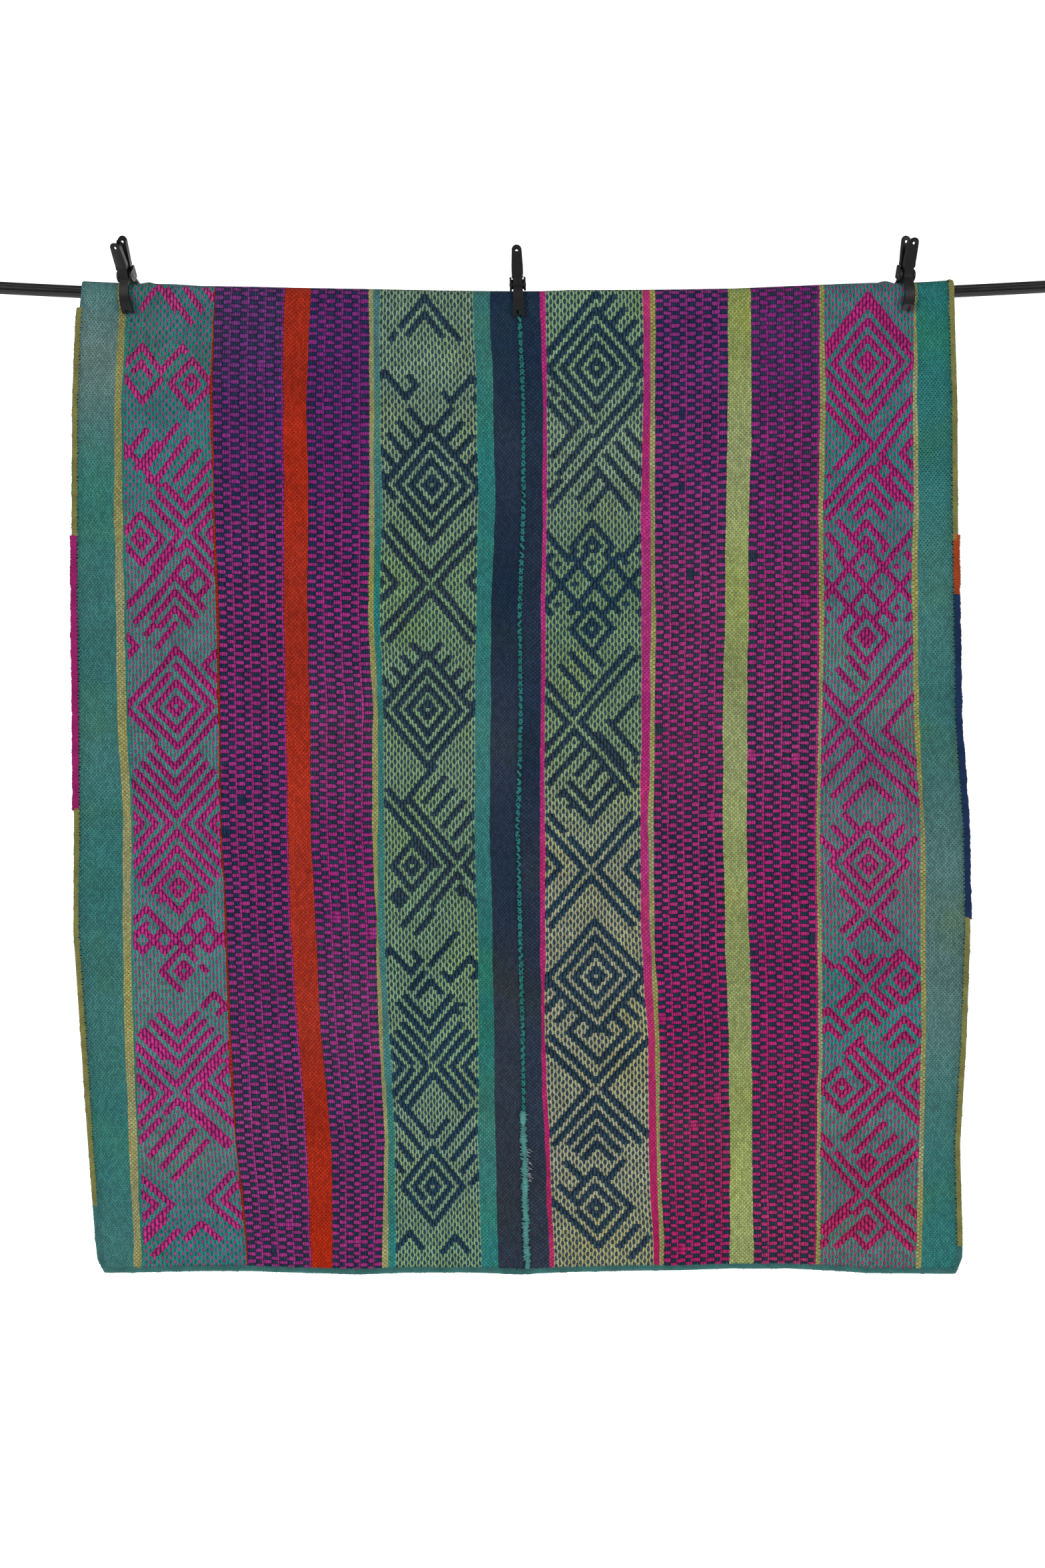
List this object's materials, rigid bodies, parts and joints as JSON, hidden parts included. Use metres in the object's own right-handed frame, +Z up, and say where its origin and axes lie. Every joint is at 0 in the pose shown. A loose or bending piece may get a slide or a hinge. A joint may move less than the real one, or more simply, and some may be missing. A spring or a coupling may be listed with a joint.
{
  "type": "woven wall hanging on a rod with spring clamps",
  "caption": "Warp-faced wool blanket with stripes, checks and figured bands, seamed up the middle, folded over a bowed black rod and held by spring clamps.",
  "frame": {"origin": "on the rod's axis at the middle of its span, at the low point of its bow", "axes": "+X along the rod to the right as seen from the front, +Y from the front of the cloth to its back, +Z up"},
  "size_m": [1.7211, 0.0941, 1.6191],
  "materials": {
    "rod_black": "gloss black with a thin highlight",
    "left_cloth": "matt warp-faced handspun wool, mixed colours",
    "right_cloth": "matt warp-faced handspun wool, mixed colours",
    "olive_yarn": "matt wool yarn",
    "magenta_yarn": "matt wool yarn",
    "tan_yarn": "matt wool yarn",
    "orange_yarn": "matt wool yarn",
    "navy_yarn": "matt wool yarn",
    "teal_yarn": "matt wool yarn",
    "clamp_plastic": "satin black moulded plastic",
    "clamp_pin": "satin black",
    "spring_steel": "dull spring wire"
  },
  "bodies": {
    "root": {"rod": "rod_black", "left_panel": "left_cloth", "right_panel": "right_cloth", "left_edge_olive": "olive_yarn", "left_edge_magenta": "magenta_yarn", "left_edge_tan": "tan_yarn", "right_edge_olive": "olive_yarn", "right_edge_orange": "orange_yarn", "right_edge_navy": "navy_yarn", "right_edge_tan": "tan_yarn", "hem_cord": "teal_yarn", "back_hem_cord": "teal_yarn", "clamp_left_front": "clamp_plastic", "clamp_left_back": "clamp_plastic", "clamp_left_pin": "clamp_pin", "clamp_left_spring": "spring_steel", "clamp_centre_front": "clamp_plastic", "clamp_centre_back": "clamp_plastic", "clamp_centre_pin": "clamp_pin", "clamp_centre_spring": "spring_steel", "clamp_right_front": "clamp_plastic", "clamp_right_back": "clamp_plastic", "clamp_right_pin": "clamp_pin", "clamp_right_spring": "spring_steel"}
  },
  "joints": []
}
